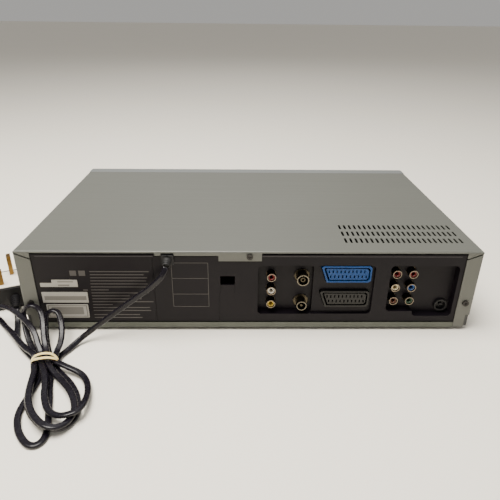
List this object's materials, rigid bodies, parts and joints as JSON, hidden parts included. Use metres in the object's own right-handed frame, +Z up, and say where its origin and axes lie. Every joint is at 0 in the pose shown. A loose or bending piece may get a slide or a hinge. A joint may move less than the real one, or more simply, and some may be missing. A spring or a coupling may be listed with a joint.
{
  "type": "dvd vcr combo player",
  "caption": "Disc player and tape recorder in one grey sheet steel housing, with rear sockets, front keys, a disc drive, a tape deck and a tied mains lead.",
  "frame": {"origin": "on the ground under the middle of the housing", "axes": "+X towards the left seen from behind, +Y towards the rear panel, +Z up"},
  "size_m": [0.5118, 0.4148, 0.0855],
  "materials": {
    "cover_grey": "satin grey paint on folded sheet steel",
    "base_steel": "zinc plated sheet steel",
    "frame_black": "black moulded plastic",
    "rear_black": "black moulded panel with a fine matt grain",
    "front_silver": "silver painted moulding",
    "window_smoke": "smoked window",
    "foot_rubber": "black foot",
    "screw_dark": "dark plated screw",
    "jack_housing": "black moulded jack housing",
    "sleeve_metal": "nickel plated sleeve",
    "insert_colours": "coloured insulators: yellow, white, red, orange, green and blue",
    "scart_blue": "blue moulded socket",
    "scart_black": "black moulded socket",
    "tin_plate": "tin plated screening box",
    "board_green": "green circuit board",
    "board_brown": "brown circuit board",
    "loader_dark": "dark moulded plastic",
    "tray_dark": "dark moulded plastic",
    "plated_steel": "plated sheet steel",
    "gear_white": "natural white moulded gear",
    "belt_rubber": "square rubber belt",
    "polished_steel": "ground and polished steel",
    "drum_aluminium": "turned aluminium",
    "deck_steel": "galvanised sheet steel",
    "roller_rubber": "black rubber roller",
    "key_silver": "silver key cap",
    "lead_black": "flexible black sheath with a soft sheen",
    "band_rubber": "natural rubber band",
    "plug_black": "black moulded plug",
    "pin_brass": "brass pins"
  },
  "bodies": {
    "housing": {"top_cover": "cover_grey", "bottom_plate": "base_steel", "main_frame": "frame_black", "rear_panel": "rear_black", "front_panel": "front_silver", "display_window": "window_smoke", "feet": "foot_rubber", "cover_screws": "screw_dark", "phono_blocks": "jack_housing", "phono_sleeves": "sleeve_metal", "phono_inserts": "insert_colours", "scart_socket_blue": "scart_blue", "scart_socket_black": "scart_black", "tuner_module": "tin_plate", "svideo_socket": "jack_housing", "main_board": "board_green", "power_board": "board_brown", "disc_board": "board_green", "front_board": "board_green", "loader_base": "loader_dark", "clamp_bridge": "plated_steel", "loading_motor": "plated_steel", "loading_belt": "belt_rubber", "deck_chassis": "deck_steel", "drum_base": "drum_aluminium", "head_stack": "plated_steel", "strain_relief": "lead_black", "mains_lead": "lead_black", "cord_bundle": "lead_black", "rubber_band": "band_rubber", "mains_plug": "plug_black", "plug_pins": "pin_brass"},
    "tray": {"disc_tray": "tray_dark", "tray_door": "front_silver"},
    "drive_gear": {"drive_gear": "gear_white"},
    "motor_pulley": {"motor_pulley": "gear_white"},
    "traverse": {"traverse_frame": "plated_steel", "spindle_motor": "plated_steel", "sled_rails": "polished_steel"},
    "turntable": {"turntable": "tray_dark"},
    "pickup_sled": {"pickup_sled": "tray_dark"},
    "disc_clamp": {"disc_clamp": "tray_dark"},
    "cassette_cradle": {"cassette_cradle": "plated_steel"},
    "cassette_door": {"cassette_door": "front_silver"},
    "upper_drum": {"upper_drum": "drum_aluminium"},
    "capstan": {"capstan": "polished_steel"},
    "pinch_arm": {"pinch_arm": "plated_steel"},
    "pinch_roller": {"pinch_roller": "roller_rubber"},
    "supply_reel": {"supply_reel": "loader_dark"},
    "takeup_reel": {"takeup_reel": "loader_dark"},
    "supply_guide_arm": {"supply_guide_arm": "plated_steel"},
    "takeup_guide_arm": {"takeup_guide_arm": "plated_steel"},
    "power_key": {"power_key": "key_silver"},
    "tray_key": {"tray_key": "key_silver"},
    "eject_key": {"eject_key": "key_silver"},
    "rewind_key": {"rewind_key": "key_silver"},
    "play_key": {"play_key": "key_silver"},
    "forward_key": {"forward_key": "key_silver"},
    "stop_key": {"stop_key": "key_silver"},
    "record_key": {"record_key": "key_silver"}
  },
  "joints": [
    {"name": "drive_gear_turn", "type": "hinge", "parent": "housing", "child": "drive_gear", "pos_m": [-0.1575, -0.092, 0.046], "axis": [0, 0, -1], "range_deg": [-10, 1080]},
    {"name": "tray_slide", "type": "slide", "parent": "housing", "child": "tray", "axis": [0, -1, 0], "range_m": [0, 0.14]},
    {"name": "motor_pulley_turn", "type": "hinge", "parent": "housing", "child": "motor_pulley", "pos_m": [-0.1575, -0.058, 0.042], "axis": [0, 0, -1], "range_deg": [-40, 4257]},
    {"name": "traverse_lift", "type": "hinge", "parent": "housing", "child": "traverse", "pos_m": [-0.11, 0.045, 0.0365], "axis": [-1, 0, 0], "range_deg": [0, 5.5]},
    {"name": "turntable_spin", "type": "hinge", "parent": "traverse", "child": "turntable", "pos_m": [-0.11, -0.062, 0.044], "axis": [0, 0, 1], "continuous": true},
    {"name": "sled_travel", "type": "slide", "parent": "traverse", "child": "pickup_sled", "axis": [0, 1, 0], "range_m": [0, 0.035]},
    {"name": "clamp_spin", "type": "hinge", "parent": "housing", "child": "disc_clamp", "pos_m": [-0.11, -0.062, 0.066], "axis": [0, 0, 1], "continuous": true},
    {"name": "cradle_slide", "type": "slide", "parent": "housing", "child": "cassette_cradle", "axis": [0, 1, 0], "range_m": [0, 0.05]},
    {"name": "cassette_door_hinge", "type": "hinge", "parent": "housing", "child": "cassette_door", "pos_m": [0.106, -0.1288, 0.0746], "axis": [1, 0, 0], "range_deg": [0, 80], "stiffness_Nm_per_rad": 0.02},
    {"name": "drum_spin", "type": "hinge", "parent": "housing", "child": "upper_drum", "pos_m": [0.106, 0.046, 0.0272], "axis": [0, 0.0872, 0.9962], "continuous": true},
    {"name": "capstan_spin", "type": "hinge", "parent": "housing", "child": "capstan", "pos_m": [0.17, 0.024, 0.03], "axis": [0, 0, 1], "continuous": true},
    {"name": "pinch_arm_swing", "type": "hinge", "parent": "housing", "child": "pinch_arm", "pos_m": [0.188, 0.012, 0.0286], "axis": [0, 0, 1], "range_deg": [0, 62]},
    {"name": "pinch_roller_spin", "type": "hinge", "parent": "pinch_arm", "child": "pinch_roller", "pos_m": [0.19226, 0.02534, 0.037], "axis": [0, 0, 1], "continuous": true},
    {"name": "supply_reel_spin", "type": "hinge", "parent": "housing", "child": "supply_reel", "pos_m": [0.0595, -0.05, 0.035], "axis": [0, 0, 1], "continuous": true},
    {"name": "takeup_reel_spin", "type": "hinge", "parent": "housing", "child": "takeup_reel", "pos_m": [0.1525, -0.05, 0.035], "axis": [0, 0, 1], "continuous": true},
    {"name": "supply_arm_swing", "type": "hinge", "parent": "housing", "child": "supply_guide_arm", "pos_m": [0.052, 0.014, 0.0286], "axis": [0, 0, 1], "range_deg": [0, 39]},
    {"name": "takeup_arm_swing", "type": "hinge", "parent": "housing", "child": "takeup_guide_arm", "pos_m": [0.16, 0.014, 0.0286], "axis": [0, 0, 1], "range_deg": [-39, 0]},
    {"name": "power_press", "type": "slide", "parent": "housing", "child": "power_key", "axis": [0, 1, 0], "range_m": [0, 0.0012], "stiffness_N_per_m": 300},
    {"name": "tray_press", "type": "slide", "parent": "housing", "child": "tray_key", "axis": [0, 1, 0], "range_m": [0, 0.0012], "stiffness_N_per_m": 300},
    {"name": "eject_press", "type": "slide", "parent": "housing", "child": "eject_key", "axis": [0, 1, 0], "range_m": [0, 0.0012], "stiffness_N_per_m": 300},
    {"name": "rewind_press", "type": "slide", "parent": "housing", "child": "rewind_key", "axis": [0, 1, 0], "range_m": [0, 0.0012], "stiffness_N_per_m": 300},
    {"name": "play_press", "type": "slide", "parent": "housing", "child": "play_key", "axis": [0, 1, 0], "range_m": [0, 0.0012], "stiffness_N_per_m": 300},
    {"name": "forward_press", "type": "slide", "parent": "housing", "child": "forward_key", "axis": [0, 1, 0], "range_m": [0, 0.0012], "stiffness_N_per_m": 300},
    {"name": "stop_press", "type": "slide", "parent": "housing", "child": "stop_key", "axis": [0, 1, 0], "range_m": [0, 0.0012], "stiffness_N_per_m": 300},
    {"name": "record_press", "type": "slide", "parent": "housing", "child": "record_key", "axis": [0, 1, 0], "range_m": [0, 0.0012], "stiffness_N_per_m": 300}
  ],
  "couplings": [
    {"joint": "drive_gear_turn", "follows": "tray_slide", "rad_per_m": 133.33},
    {"joint": "motor_pulley_turn", "follows": "tray_slide", "rad_per_m": 525.25},
    {"joint": "takeup_arm_swing", "follows": "supply_arm_swing", "ratio": -1}
  ]
}
